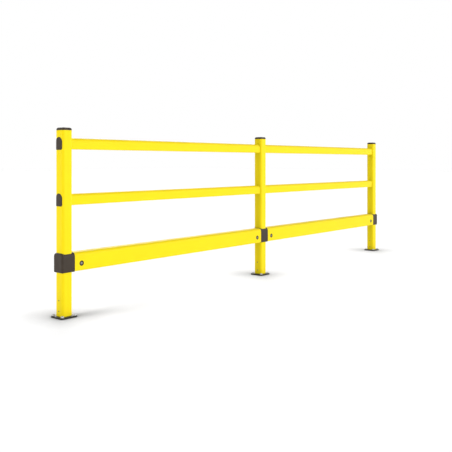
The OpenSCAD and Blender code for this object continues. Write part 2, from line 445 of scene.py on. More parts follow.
@dataclass
class NodeSheet:
    """Short hand for laying out a material's nodes.

    Attributes:
        material: the material.
        column: where the next node is put in the editor.
    """

    material: bpy.types.Material
    column: int = -1600

    def node(self, kind: str, **settings: object) -> bpy.types.Node:
        """Adds a node and sets its own properties.

        Args:
            kind: Blender's name of the node type.
            settings: properties to set on it.

        Returns:
            The node.
        """
        made = self.material.node_tree.nodes.new(kind)
        made.location = (self.column, 0)
        self.column += 200
        for name, value in settings.items():
            setattr(made, name, value)
        return made

    def join(self, source: bpy.types.NodeSocket, target: bpy.types.NodeSocket) -> None:
        """Wires one socket to another."""
        self.material.node_tree.links.new(source, target)

    def noise(
        self, scale: float, detail: float, stretch: Sequence[float] = EVEN
    ) -> bpy.types.NodeSocket:
        """Lays noise in the object's own coordinates.

        Args:
            scale: scale of the noise itself.
            detail: octaves of the noise.
            stretch: scale of the coordinates on X, Y and Z.

        Returns:
            The noise's socket.
        """
        where = self.node("ShaderNodeTexCoord")
        turn = self.node("ShaderNodeMapping")
        turn.inputs["Scale"].default_value = stretch
        made = self.node("ShaderNodeTexNoise")
        made.inputs["Scale"].default_value = scale
        made.inputs["Detail"].default_value = detail
        self.join(where.outputs["Object"], turn.inputs["Vector"])
        self.join(turn.outputs["Vector"], made.inputs["Vector"])
        return made.outputs["Fac"]

    def reckon(
        self, operation: str, first: bpy.types.NodeSocket, second: bpy.types.NodeSocket | float
    ) -> bpy.types.NodeSocket:
        """Reckons with two values.

        Args:
            operation: Blender's name of the sum.
            first: the first value's socket.
            second: the second value or its socket.

        Returns:
            The result's socket.
        """
        made = self.node("ShaderNodeMath", operation=operation)
        self.join(first, made.inputs[0])
        if isinstance(second, float):
            made.inputs[1].default_value = second
        else:
            self.join(second, made.inputs[1])
        return made.outputs[0]

    def ramp(self, value: bpy.types.NodeSocket, low: float, high: float) -> bpy.types.NodeSocket:
        """Maps a value from the middle of its range onto low to high.

        Args:
            value: the socket to read.
            low: result where the value is 0.3.
            high: result where the value is 0.7.

        Returns:
            The mapped socket.
        """
        made = self.node("ShaderNodeMapRange")
        made.inputs["From Min"].default_value = 0.3
        made.inputs["From Max"].default_value = 0.7
        made.inputs["To Min"].default_value = low
        made.inputs["To Max"].default_value = high
        self.join(value, made.inputs["Value"])
        return made.outputs["Result"]

    def blend(
        self, factor: bpy.types.NodeSocket, first: Colour, second: Colour
    ) -> bpy.types.NodeSocket:
        """Mixes two colours by a factor.

        Args:
            factor: the socket that chooses between them.
            first: colour at 0.
            second: colour at 1.

        Returns:
            The mixed colour's socket.
        """
        made = self.node("ShaderNodeMix", data_type="RGBA")
        made.inputs["A"].default_value = (*first, 1.0)
        made.inputs["B"].default_value = (*second, 1.0)
        self.join(factor, made.inputs["Factor"])
        return made.outputs["Result"]

    def bump(
        self, height: bpy.types.NodeSocket, depth: float, under: bpy.types.NodeSocket | None = None
    ) -> bpy.types.NodeSocket:
        """Turns a height into a shading normal.

        Args:
            height: the height's socket.
            depth: height of the relief in metres.
            under: a normal that this relief lies on.

        Returns:
            The normal's socket.
        """
        made = self.node("ShaderNodeBump")
        made.inputs["Strength"].default_value = 1.0
        made.inputs["Distance"].default_value = depth
        self.join(height, made.inputs["Height"])
        if under is not None:
            self.join(under, made.inputs["Normal"])
        return made.outputs["Normal"]


@dataclass(frozen=True)
class Finish:
    """A surface finish.

    Attributes:
        name: name of the material.
        slot: the record's material slot; not used.
        base: colour of the even surface.
        drift: colour that it wanders to.
        rough: lowest and highest roughness.
        metallic: share of metal.
        specular: strength of the reflection at right angles.
    """

    name: str
    slot: str
    base: Colour
    drift: Colour
    rough: tuple[float, float]
    metallic: float = 0.0
    specular: float = 0.5

    def make(self) -> bpy.types.Material:
        """Builds the material.

        Returns:
            The material, ready to assign.
        """
        made = bpy.data.materials.new(self.name)
        made.use_nodes = True
        made.node_tree.nodes.clear()
        sheet = NodeSheet(made)
        shader = sheet.node("ShaderNodeBsdfPrincipled")
        out = sheet.node("ShaderNodeOutputMaterial")
        shader.inputs["Metallic"].default_value = self.metallic
        shader.inputs["Specular IOR Level"].default_value = self.specular
        sheet.join(shader.outputs["BSDF"], out.inputs["Surface"])
        self.lay(sheet, shader)
        return made

    def lay(self, sheet: NodeSheet, shader: bpy.types.Node) -> None:
        """Lays the surface's own detail; each finish has its own."""
        raise NotImplementedError

    def tint(self, sheet: NodeSheet, cloud: bpy.types.NodeSocket) -> bpy.types.NodeSocket:
        """Clouds the base colour with the colour that it wanders to."""
        return sheet.blend(sheet.ramp(cloud, 0.0, 1.0), self.base, self.drift)

    def coat(
        self,
        sheet: NodeSheet,
        shader: bpy.types.Node,
        cloud: bpy.types.NodeSocket,
        wear: bpy.types.NodeSocket,
        relief: bpy.types.NodeSocket,
        depth: float,
    ) -> None:
        """Feeds the shader a clouded colour, an uneven roughness and a relief.

        Args:
            sheet: the material's nodes.
            shader: the shader to feed.
            cloud: pattern of the colour.
            wear: pattern of the roughness.
            relief: pattern of the relief.
            depth: height of the relief in metres.
        """
        sheet.join(self.tint(sheet, cloud), shader.inputs["Base Color"])
        sheet.join(sheet.ramp(wear, *self.rough), shader.inputs["Roughness"])
        sheet.join(sheet.bump(relief, depth), shader.inputs["Normal"])


@dataclass(frozen=True)
class ExtrudedPolymer(Finish):
    """Extruded plastic: through-coloured, satin, with fine lines along the profile.

    Attributes:
        grain: direction of the drawing lines.
        bounce: colour that it lends its surroundings, kept calm so that white paper
            beside it stays white.
    """

    grain: Grain = Grain.RUN
    bounce: Colour = (0.60, 0.56, 0.46)

    def lay(self, sheet: NodeSheet, shader: bpy.types.Node) -> None:
        """Lays cloudy colour, drawing lines and a faint waviness.

        Args:
            sheet: the material's nodes.
            shader: the shader to feed.
        """
        cloud = sheet.noise(9.0, 4.0)
        lines = sheet.noise(6.0, 3.0, self.grain.value)
        skin = sheet.noise(420.0, 2.0)
        toned = sheet.node("ShaderNodeVectorMath", operation="SCALE")
        sheet.join(self.tint(sheet, cloud), toned.inputs[0])
        sheet.join(sheet.ramp(lines, 0.985, 1.015), toned.inputs["Scale"])
        path = sheet.node("ShaderNodeLightPath")
        calm = sheet.node("ShaderNodeMix", data_type="RGBA")
        calm.inputs["B"].default_value = (*self.bounce, 1.0)
        sheet.join(toned.outputs["Vector"], calm.inputs["A"])
        sheet.join(path.outputs["Is Diffuse Ray"], calm.inputs["Factor"])
        sheet.join(calm.outputs["Result"], shader.inputs["Base Color"])
        sheet.join(sheet.ramp(lines, *self.rough), shader.inputs["Roughness"])
        drawn = sheet.bump(lines, 0.02 * MM)
        sheet.join(sheet.bump(skin, 0.01 * MM, drawn), shader.inputs["Normal"])


@dataclass(frozen=True)
class MouldedPolymer(Finish):
    """Moulded plastic with a fine sparked grain.

    Attributes:
        grain_scale: fineness of the moulded grain.
    """

    grain_scale: float = 900.0

    def lay(self, sheet: NodeSheet, shader: bpy.types.Node) -> None:
        """Lays a cloudy tone and the moulded grain.

        Args:
            sheet: the material's nodes.
            shader: the shader to feed.
        """
        cloud = sheet.noise(24.0, 4.0)
        grain = sheet.noise(self.grain_scale, 2.0)
        self.coat(sheet, shader, cloud, cloud, grain, 0.03 * MM)


@dataclass(frozen=True)
class PowderCoat(Finish):
    """Powder coating with its orange-peel surface.

    Attributes:
        peel_scale: fineness of the peel.
    """

    peel_scale: float = 380.0

    def lay(self, sheet: NodeSheet, shader: bpy.types.Node) -> None:
        """Lays the peel and a slight tone.

        Args:
            sheet: the material's nodes.
            shader: the shader to feed.
        """
        peel = sheet.noise(self.peel_scale, 2.0)
        cloud = sheet.noise(30.0, 3.0)
        self.coat(sheet, shader, cloud, peel, peel, 0.06 * MM)


@dataclass(frozen=True)
class PlatedSteel(Finish):
    """Plated steel hardware with a crystalline bloom.

    Attributes:
        bloom_scale: size of the bloom's cells.
    """

    bloom_scale: float = 260.0

    def lay(self, sheet: NodeSheet, shader: bpy.types.Node) -> None:
        """Lays the bloom, a cloud of tone and fine scratches.

        Args:
            sheet: the material's nodes.
            shader: the shader to feed.
        """
        cloud = sheet.noise(self.bloom_scale, 3.0)
        rub = sheet.noise(1.0, 2.0, (900.0, 900.0, 120.0))
        self.coat(sheet, shader, cloud, rub, rub, 0.01 * MM)


# Base colour, drift, lowest and highest roughness, share of metal, strength of reflection.
YELLOW = ((0.97, 0.755, 0.003), (0.95, 0.735, 0.003), (0.42, 0.54), 0.0, 0.14)
BLACK = ((0.050, 0.037, 0.027), (0.040, 0.030, 0.022), (0.42, 0.56), 0.0, 0.16)
COATED = ((0.026, 0.024, 0.021), (0.018, 0.017, 0.015), (0.34, 0.50), 0.0, 0.25)
BRIGHT = ((0.66, 0.66, 0.64), (0.52, 0.52, 0.51), (0.36, 0.52), 0.30)
GREY = ((0.34, 0.34, 0.32), (0.24, 0.24, 0.23), (0.36, 0.52), 0.40)
DARK = ((0.17, 0.15, 0.10), (0.12, 0.11, 0.08), (0.36, 0.52), 0.30)


class Coat(Enum):
    """The finishes of the barrier."""

    RAIL = ExtrudedPolymer("YellowRail", "yellow_polymer", *YELLOW, Grain.RUN)
    POST = ExtrudedPolymer("YellowPost", "yellow_polymer", *YELLOW, Grain.UPRIGHT)
    MOULDING = MouldedPolymer("BlackMoulding", "black_polymer", *BLACK)
    PLATE = PowderCoat("BlackPlate", "black_steel", *COATED)
    ZINC = PlatedSteel("ZincSteel", "zinc_steel", *BRIGHT)
    BOLT = PlatedSteel("BoltSteel", "zinc_steel", *GREY)
    SCREW = PlatedSteel("DarkScrew", "dark_screw", *DARK)


class Paints:
    """Materials made once and shared by the pieces."""

    def __init__(self) -> None:
        """Starts with nothing made."""
        self.made: dict[str, bpy.types.Material] = {}

    def get(self, coat: Coat) -> bpy.types.Material:
        """Returns the coat's material, built the first time it is asked for.

        Args:
            coat: the coat wanted.

        Returns:
            Its material.
        """
        name = coat.value.name
        if name not in self.made:
            self.made[name] = coat.value.make()
        return self.made[name]

    def dress(self, piece: bpy.types.Object, coat: Coat, node: str) -> None:
        """Gives a piece its coat and its place in the frame.

        Args:
            piece: the finished mesh object.
            coat: the coat that it wears.
            node: the CAD node it stands for.
        """
        piece.data.materials.clear()
        piece.data.materials.append(self.get(coat))
        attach(piece, "root")
        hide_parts(node)
        log.info("%s: %d faces, stands for %s", piece.name, len(piece.data.polygons), node)


def span(node: str) -> tuple[Vector, Vector]:
    """Returns a node's lowest and highest corner as vectors."""
    low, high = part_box(node)
    return Vector(low), Vector(high)


class Piece:
    """A piece that stands for one node of the frame and wears one coat.

    Attributes:
        node: name of the node.
        coat: its coat.
    """

    node: str
    coat = Coat.MOULDING

    def build(self) -> bpy.types.Object:
        """Builds the piece's mesh; each piece has its own."""
        raise NotImplementedError

    def dress(self, paints: Paints) -> None:
        """Builds the piece and gives it its coat."""
        paints.dress(self.build(), self.coat, self.node)


# ---------------------------------------------------------------- posts


@dataclass
class Post(Piece):
    """A square tube post with rounded corners, open where the slim rails pass.

    Attributes:
        station: which post of the row.
        corner_r: radius of the outer corners.
        wall: thickness of the wall.
        fit: clearance round a rail.
        edge_r: radius of the cut ends.
    """

    station: Station
    coat = Coat.POST
    corner_r: float = 18.0 * MM
    wall: float = 7.0 * MM
    fit: float = 0.3 * MM
    edge_r: float = 0.8 * MM

    @property
    def node(self) -> str:
        """Name of the post's node."""
        return f"post_{self.station.value}"

    def rail_heights(self) -> list[tuple[Vector, Vector]]:
        """Boxes of the slim rails that pass through this post."""
        side = "right" if self.station is Station.RIGHT else "left"
        return [span(f"hand_rail_{side}"), span(f"mid_rail_{side}")]

    def build(self) -> bpy.types.Object:
        """Builds the tube and cuts the passages of the rails.

        Returns:
            The post.
        """
        low, high = span(self.node)
        centre = (low + high) / 2
        width = high.x - low.x
        outline = Outline(width, high.y - low.y, self.corner_r, self.corner_r)
        rows = tube_rows(low.z, high.z, self.wall, self.edge_r)
        shell = Shell(f"barrier_{self.node}")
        shell.loft(sections(outline, Axis.Z, rows, (centre.x, centre.y, 0.0)), True)
        tube = shell.finish()
        cutters = []
        for rail_low, rail_high in self.rail_heights():
            rail = SlimRail.outline_of(rail_low, rail_high)
            middle = (rail_low + rail_high) / 2
            at = (0.0, middle.y, middle.z)
            cutters.append(rod(rail, Axis.X, centre.x - width, centre.x + width, at, self.fit))
        return settle(cut(tube, cutters))


@dataclass
class PostCap(Piece):
    """A pillow-shaped cap that closes the top of a post.

    Attributes:
        station: which post of the row.
        corner_r: radius of the corners in plan.
        edge_r: radius of the upper edge.
        seam: softening of the lower edge, which leaves a fine line over the post.
        crown: rise of the top between its edge and its middle.
        shank_inset: how far the shank stays inside the outline.
        shank_wall: thickness of the shank.
        head_h: height of the cap over the post.
    """

    station: Station
    corner_r: float = 18.0 * MM
    edge_r: float = 13.0 * MM
    seam: float = 0.7 * MM
    crown: float = 0.9 * MM
    shank_inset: float = 7.3 * MM
    shank_wall: float = 3.0 * MM
    head_h: float = 18.0 * MM

    @property
    def node(self) -> str:
        """Name of the cap's node."""
        return f"post_cap_{self.station.value}"

    def head_rows(self, base: float, top: float, half: float) -> Rows:
        """Rows of the pillow from its seam to the middle of its top.

        Args:
            base: level of the post's end.
            top: level of the cap's highest point.
            half: half of the cap's width.

        Returns:
            Pairs of inset and level.
        """
        shoulder = top - self.crown
        rows = lip(self.seam, 0.0, base, 1, -1, 3)[::-1]
        rows += lip(self.edge_r, 0.0, shoulder, 1, 1, 14)[:-1]
        flat = half - self.edge_r
        for step in range(9):
            part = step / 8
            inset = self.edge_r + (flat - 0.2 * MM) * part
            rows.append((-inset, shoulder + self.crown * math.sin(part * math.pi / 2)))
        return rows

    def build(self) -> bpy.types.Object:
        """Builds the pillow and its hollow shank.

        Returns:
            The cap.
        """
        low, high = span(self.node)
        centre = (low + high) / 2
        width = high.x - low.x
        base = high.z - self.head_h
        outline = Outline(width, width, self.corner_r, self.corner_r)
        middle = (centre.x, centre.y, 0.0)
        shell = Shell(f"barrier_{self.node}")
        shell.loft(sections(outline, Axis.Z, self.head_rows(base, high.z, width / 2), middle))
        shank_w = width - 2 * self.shank_inset
        shank_r = self.corner_r - self.shank_inset
        shank = Outline(shank_w, shank_w, shank_r, shank_r)
        rows = tube_rows(low.z, base + 0.5 * MM, self.shank_wall, 0.5 * MM)
        shell.loft(sections(shank, Axis.Z, rows, middle), True)
        return settle(shell.finish())


@dataclass
class BasePlate(Piece):
    """A steel foot plate with the spigot that stands up inside the post.

    Attributes:
        station: which post of the row.
        thick: thickness of the plate.
        corner_r: radius of the corners in plan.
        edge_r: softening of the plate's upper edge.
        spigot_inset: distance from the plate's side to the spigot.
        spigot_r: corner radius of the spigot.
        spigot_wall: thickness of the spigot.
        anchor_inset: distance from the plate's side to a hole.
        hole_d: diameter of the holes.
    """

    station: Station
    coat = Coat.PLATE
    thick: float = 10.0 * MM
    corner_r: float = 8.0 * MM
    edge_r: float = 1.2 * MM
    spigot_inset: float = 27.3 * MM
    spigot_r: float = 10.7 * MM
    spigot_wall: float = 5.0 * MM
    anchor_inset: float = 13.0 * MM
    hole_d: float = 10.8 * MM

    @property
    def node(self) -> str:
        """Name of the plate's node."""
        return f"base_plate_{self.station.value}"

    def build(self) -> bpy.types.Object:
        """Builds the drilled plate and its spigot.

        Returns:
            The foot plate.
        """
        low, high = span(self.node)
        centre = (low + high) / 2
        width = high.x - low.x
        outline = Outline(width, width, self.corner_r, self.corner_r)
        middle = (centre.x, centre.y, 0.0)
        rows = bar_rows(low.z, low.z + self.thick, 0.4 * MM, self.edge_r)
        plate = Shell(f"barrier_{self.node}").loft(sections(outline, Axis.Z, rows, middle)).finish()
        reach = width / 2 - self.anchor_inset
        drill = Polygon(self.hole_d)
        cutters = []
        for side in (-1, 1):
            for row in (-1, 1):
                at = (centre.x + side * reach, centre.y + row * reach, 0.0)
                top = low.z + 2 * self.thick
                cutters.append(rod(drill, Axis.Z, low.z - self.thick, top, at))
        plate = cut(plate, cutters)
        tube_w = width - 2 * self.spigot_inset
        tube = Outline(tube_w, tube_w, self.spigot_r, self.spigot_r)
        rows = tube_rows(low.z + self.thick, high.z, self.spigot_wall, 0.8 * MM)
        shell = Shell.reopen(plate)
        shell.loft(sections(tube, Axis.Z, rows, middle), True)
        return settle(shell.finish())


# ---------------------------------------------------------------- rails and collars


@dataclass
class SlimRail(Piece):
    """A hand rail or middle rail with a full round top.

    Attributes:
        node: the rail's node.
        wall: thickness of the wall.
        edge_r: radius of the cut ends.
    """

    node: str
    coat = Coat.RAIL
    wall: float = 5.0 * MM
    edge_r: float = 0.6 * MM

    @staticmethod
    def outline_of(low: Vector, high: Vector) -> Outline:
        """Outline of the rail in a box: a round top, flat sides and soft lower corners."""
        width = high.y - low.y
        return Outline(width, high.z - low.z, width / 2, 6.0 * MM, 16)

    def build(self) -> bpy.types.Object:
        """Builds the hollow rail.

        Returns:
            The rail.
        """
        low, high = span(self.node)
        middle = (low + high) / 2
        rows = tube_rows(low.x, high.x, self.wall, self.edge_r)
        rings = sections(self.outline_of(low, high), Axis.X, rows, (0.0, middle.y, middle.z))
        return settle(Shell(f"barrier_{self.node}").loft(rings, True).finish())


@dataclass(frozen=True)
class ImpactProfile:
    """Outline shared by the impact rail and what fits over and into it.

    Attributes:
        top_r: radius of the upper corners.
        low_r: radius of the lower corners.
        wall: thickness of the rail's wall.
    """

    top_r: float = 24.0 * MM
    low_r: float = 8.0 * MM
    wall: float = 8.0 * MM

    def outline(self) -> tuple[Outline, Point]:
        """Measures the impact rail.

        Returns:
            Its outline and the middle of its run.
        """
        low, high = span("impact_rail_left")
        middle = (low + high) / 2
        outline = Outline(high.y - low.y, high.z - low.z, self.top_r, self.low_r)
        return outline, (0.0, middle.y, middle.z)


@dataclass
class ImpactRail(Piece):
    """The deep low rail of a bay, bored for its two bolts.

    Attributes:
        bay: left or right.
        profile: its outline.
        edge_r: radius of the cut ends.
        bore_d: diameter of the bores that take the bolt cups.
        steps: sides of a bore.
    """

    bay: str
    coat = Coat.RAIL
    profile: ImpactProfile = ImpactProfile()
    edge_r: float = 1.0 * MM
    bore_d: float = 33.8 * MM
    steps: int = 48

    @property
    def node(self) -> str:
        """Name of the rail's node."""
        return f"impact_rail_{self.bay}"

    def build(self) -> bpy.types.Object:
        """Builds the hollow rail and bores it.

        Returns:
            The rail.
        """
        low, high = span(self.node)
        outline, middle = self.profile.outline()
        rows = tube_rows(low.x, high.x, self.profile.wall, self.edge_r)
        rings = sections(outline, Axis.X, rows, middle)
        rail = Shell(f"barrier_{self.node}").loft(rings, True).finish()
        cutters = []
        for end in ("outer", "inner"):
            cup_low, cup_high = span(f"bolt_cups_{self.bay}_{end}")
            at = (cup_low + cup_high) / 2
            bore = Polygon(self.bore_d, self.steps)
            past = 5 * MM
            cutters.append(rod(bore, Axis.Y, low.y - past, high.y + past, (at.x, 0.0, at.z)))
        return settle(cut(rail, cutters))


@dataclass
class Collar(Piece):
    """A moulded collar round a post that the impact rails plug onto.

    Attributes:
        station: which post of the row.
        profile: outline of the rail.
        proud: how far the collar stands outside the rail.
        half: half of the length of the part that shows.
        end_r: plan radius of a closed end.
        end_rise: elevation radius of a closed end.
        lip_r: radius of the edge beside a rail.
        fit: clearance round the post.
        spigot_inset: how far a spigot stays inside the rail's outline.
        spigot_wall: thickness of a spigot.
        post_r: corner radius of the post.
        smooth_below: edges that turn less than this many degrees are shaded smooth.
    """

    station: Station
    profile: ImpactProfile = ImpactProfile()
    proud: float = 1.5 * MM
    half: float = 47.5 * MM
    end_r: float = 14.0 * MM
    end_rise: float = 9.0 * MM
    lip_r: float = 1.4 * MM
    fit: float = 0.3 * MM
    spigot_inset: float = 8.3 * MM
    spigot_wall: float = 6.0 * MM
    post_r: float = 18.0 * MM
    smooth_below: float = 38.0

    @property
    def node(self) -> str:
        """Name of the collar's node."""
        return f"collar_{self.station.value}"

    def rail_sides(self) -> tuple[int, ...]:
        """Sides on which an impact rail plugs on."""
        return {Station.LEFT: (1,), Station.MIDDLE: (-1, 1), Station.RIGHT: (-1,)}[self.station]

    def end_rings(
        self, outline: Outline, middle: Point, centre_x: float, side: int
    ) -> list[Section]:
        """Sections of one end, from its face to where the straight part begins.

        Args:
            outline: the rail's outline.
            middle: the middle of the rail's run.
            centre_x: the post's place.
            side: -1 or 1 along the run.

        Returns:
            The sections, the face's first.
        """
        closed = side not in self.rail_sides()
        reach = self.end_r if closed else self.lip_r
        level = self.end_rise if closed else self.lip_r
        steps = 12 if closed else 3
        rings = []
        for step in range(steps + 1):
            angle = math.radians(90.0 * step / steps)
            along = centre_x + side * (self.half - reach * (1 - math.sin(angle)))
            plan = self.proud - reach * (1 - math.cos(angle))
            back = reach * (1 - math.sin(angle))
            dip = level - min(back, level)
            drop = level - math.sqrt(max(level * level - dip * dip, 0.0))
            points = outline.points(plan, self.proud - drop)
            rings.append([(along, middle[1] + a, middle[2] + u) for a, u in points])
        rings.reverse()
        return rings

    def build(self) -> bpy.types.Object:
        """Builds the collar with its post passage and spigots.

        Returns:
            The collar.
        """
        outline, middle = self.profile.outline()
        post_low, post_high = span(f"post_{self.station.value}")
        at = (post_low + post_high) / 2
        near = self.end_rings(outline, middle, at.x, -1)
        far = self.end_rings(outline, middle, at.x, 1)
        body = Shell(f"barrier_{self.node}").loft(near + far[::-1]).finish(self.smooth_below)
        width = post_high.x - post_low.x + 2 * self.fit
        passage = Outline(width, width, self.post_r + self.fit, self.post_r + self.fit)
        low, high = span(self.node)
        past = 10 * MM
        cutter = rod(passage, Axis.Z, low.z - past, high.z + past, (at.x, at.y, 0.0))
        body = cut(body, [cutter], self.smooth_below)
        shell = Shell.reopen(body)
        inner = Outline(
            outline.width - 2 * self.spigot_inset,
            outline.height - 2 * self.spigot_inset,
            outline.top_r - self.spigot_inset,
            max(outline.low_r - self.spigot_inset, 1.0 * MM),
        )
        for side in self.rail_sides():
            tip = high.x if side > 0 else low.x
            root = at.x + side * (self.half - 0.5 * MM)
            rows = tube_rows(min(root, tip), max(root, tip), self.spigot_wall, 0.8 * MM)
            shell.loft(sections(inner, Axis.X, rows, middle), True)
        return settle(shell.finish(self.smooth_below))


@dataclass
class EndPlug(Piece):
    """A moulded plug that closes a slim rail's end and lies on the rounded post.

    Attributes:
        level: hand_rail or mid_rail.
        bay: left or right.
        corner_r: corner radius of the post.
        border: how far the flange reaches outside the rail.
        flange: thickness of the flange.
        edge_r: radius of the flange's edge.
        shank_inset: how far the shank stays inside the rail's outline.
        shank_wall: thickness of the shank.
    """

    level: str
    bay: str
    corner_r: float = 18.0 * MM
    border: float = 4.5 * MM
    flange: float = 2.0 * MM
    edge_r: float = 1.1 * MM
    shank_inset: float = 5.3 * MM
    shank_wall: float = 2.5 * MM

    @property
    def node(self) -> str:
        """Name of the plug's node."""
        return f"{self.level}_plug_{self.bay}"

    def surface(self, half_post: float) -> Callable[[float], float]:
        """Describes the rounded face of the post that the flange lies on.

        Args:
            half_post: half of the post's width.

        Returns:
            A function from the distance across to the face's distance from the centre.
        """
        flat = half_post - self.corner_r

        def depth(across: float) -> float:
            """Distance of the post's surface from its centre line."""
            past = max(abs(across) - flat, 0.0)
            return flat + math.sqrt(max(self.corner_r**2 - past**2, 0.0))

        return depth

    def build(self) -> bpy.types.Object:
        """Builds the flange and its hollow shank.

        Returns:
            The plug.
        """
        low, high = span(self.node)
        rail_low, rail_high = span(f"{self.level}_{self.bay}")
        outline = SlimRail.outline_of(rail_low, rail_high)
        middle = (rail_low + rail_high) / 2
        post_low, post_high = span(f"post_{self.bay}")
        at = (post_low + post_high) / 2
        side = 1 if self.bay == "right" else -1
        depth = self.surface((post_high.x - post_low.x) / 2)
        tip = min(abs(low.x - at.x), abs(high.x - at.x))
        floor = depth(0.0) - 2 * MM
        half = outline.width / 2
        core = half - 0.3 * MM
        plain = [
            (-core, floor),
            (-self.shank_inset - self.shank_wall, floor),
            (-self.shank_inset - self.shank_wall, tip),
            (-self.shank_inset, tip),
        ]
        lying = [(-self.shank_inset, 0.0), (self.border, 0.0)]
        lying += lip(self.edge_r, self.border, self.flange, 1, 1, 5)
        lying += [(grow, self.flange) for grow in (0.0, -0.4 * half, -0.8 * half, -core)]
        rings = []
        for grow, along in plain:
            x = at.x + side * along
            rings.append([(x, middle.y + a, middle.z + u) for a, u in outline.points(grow)])
        for grow, above in lying:
            ring = []
            for a, u in outline.points(grow):
                ring.append((at.x + side * (depth(a) + above), middle.y + a, middle.z + u))
            rings.append(ring)
        return settle(Shell(f"barrier_{self.node}").loft(rings).finish(50.0))


# ---------------------------------------------------------------- fasteners


@dataclass(frozen=True)
class Pattern:
    """Where a fastener repeats.

    Attributes:
        columns: count along the pattern's first direction.
        rows: count along its second direction.
        pitch: spacing in the two directions.
        turn: rotation of the pattern's plane.
        outward: axis on which the fasteners face away from the pattern's middle.
        upward: direction that they face besides.
    """

    columns: int
    rows: int
    pitch: tuple[float, float]
    turn: Point = (0.0, 0.0, 0.0)
    outward: Point = (0.0, 0.0, 0.0)
    upward: Point = (0.0, 0.0, 0.0)


class FastenerTree:
    """Geometry nodes that set one fastener out on a grid of points."""

    INPUTS = (
        ("Fastener", "NodeSocketObject"),
        ("Finish", "NodeSocketMaterial"),
        ("Columns", "NodeSocketInt"),
        ("Rows", "NodeSocketInt"),
        ("Column Pitch", "NodeSocketFloat"),
        ("Row Pitch", "NodeSocketFloat"),
        ("Turn", "NodeSocketVector"),
        ("Outward", "NodeSocketVector"),
        ("Upward", "NodeSocketVector"),
        ("Centre", "NodeSocketVector"),
        ("Play", "NodeSocketFloat"),
        ("Seed", "NodeSocketInt"),
    )

    def __init__(self) -> None:
        """Builds the tree."""
        self.tree = bpy.data.node_groups.new("SetOutFasteners", "GeometryNodeTree")
        face = self.tree.interface
        face.new_socket("Geometry", in_out="INPUT", socket_type="NodeSocketGeometry")
        for name, kind in self.INPUTS:
            face.new_socket(name, in_out="INPUT", socket_type=kind)
        face.new_socket("Geometry", in_out="OUTPUT", socket_type="NodeSocketGeometry")
        self.lay()

    def node(self, kind: str, **settings: object) -> bpy.types.Node:
        """Adds a node and sets its own properties.

        Args:
            kind: Blender's name of the node type.
            settings: properties to set on it.

        Returns:
            The node.
        """
        made = self.tree.nodes.new(kind)
        for name, value in settings.items():
            setattr(made, name, value)
        return made

    def extent(self, given: bpy.types.Node, count: str, pitch: str) -> bpy.types.NodeSocket:
        """Length of a row of points from their count and pitch.

        Args:
            given: the group's inputs.
            count: name of the count's input.
            pitch: name of the pitch's input.

        Returns:
            The length's socket.
        """
        link = self.tree.links.new
        gaps = self.node("ShaderNodeMath", operation="SUBTRACT")
        gaps.inputs[1].default_value = 1.0
        size = self.node("ShaderNodeMath", operation="MULTIPLY")
        link(given.outputs[count], gaps.inputs[0])
        link(gaps.outputs[0], size.inputs[0])
        link(given.outputs[pitch], size.inputs[1])
        return size.outputs[0]

    def lay(self) -> None:
        """Lays the nodes from the grid of points to the finished mesh."""
        link = self.tree.links.new
        given = self.node("NodeGroupInput")
        grid = self.node("GeometryNodeMeshGrid")
        link(self.extent(given, "Columns", "Column Pitch"), grid.inputs["Size X"])
        link(self.extent(given, "Rows", "Row Pitch"), grid.inputs["Size Y"])
        link(given.outputs["Columns"], grid.inputs["Vertices X"])
        link(given.outputs["Rows"], grid.inputs["Vertices Y"])
        plane = self.node("GeometryNodeTransform")
        link(grid.outputs["Mesh"], plane.inputs["Geometry"])
        link(given.outputs["Turn"], plane.inputs["Rotation"])
        points = self.node("GeometryNodeMeshToPoints")
        link(plane.outputs["Geometry"], points.inputs["Mesh"])
        position = self.node("GeometryNodeInputPosition")
        away = self.node("ShaderNodeVectorMath", operation="MULTIPLY")
        link(position.outputs["Position"], away.inputs[0])
        link(given.outputs["Outward"], away.inputs[1])
        facing = self.node("ShaderNodeVectorMath", operation="ADD")
        link(away.outputs["Vector"], facing.inputs[0])
        link(given.outputs["Upward"], facing.inputs[1])
        align = self.node("FunctionNodeAlignRotationToVector", axis="Z")
        link(facing.outputs["Vector"], align.inputs["Vector"])
        chance = self.node("FunctionNodeRandomValue", data_type="FLOAT")
        link(given.outputs["Play"], chance.inputs[3])
        link(given.outputs["Seed"], chance.inputs["Seed"])
        spin = self.node("ShaderNodeCombineXYZ")
        link(chance.outputs[1], spin.inputs["Z"])
        turned = self.node("FunctionNodeRotateRotation", rotation_space="LOCAL")
        link(align.outputs["Rotation"], turned.inputs["Rotation"])
        link(spin.outputs["Vector"], turned.inputs["Rotate By"])
        source = self.node("GeometryNodeObjectInfo")
        link(given.outputs["Fastener"], source.inputs["Object"])
        copies = self.node("GeometryNodeInstanceOnPoints")
        link(points.outputs["Points"], copies.inputs["Points"])
        link(source.outputs["Geometry"], copies.inputs["Instance"])
        link(turned.outputs["Rotation"], copies.inputs["Rotation"])
        moved = self.node("GeometryNodeTransform")
        link(copies.outputs["Instances"], moved.inputs["Geometry"])
        link(given.outputs["Centre"], moved.inputs["Translation"])
        real = self.node("GeometryNodeRealizeInstances")
        link(moved.outputs["Geometry"], real.inputs["Geometry"])
        coat = self.node("GeometryNodeSetMaterial")
        link(real.outputs["Geometry"], coat.inputs["Geometry"])
        link(given.outputs["Finish"], coat.inputs["Material"])
        out = self.node("NodeGroupOutput")
        link(coat.outputs["Geometry"], out.inputs["Geometry"])

    def socket(self, name: str) -> str:
        """Looks up a named input.

        Args:
            name: the input's name.

        Returns:
            Its identifier.
        """
        for item in self.tree.interface.items_tree:
            if item.in_out == "INPUT" and item.name == name:
                return item.identifier
        raise KeyError(name)

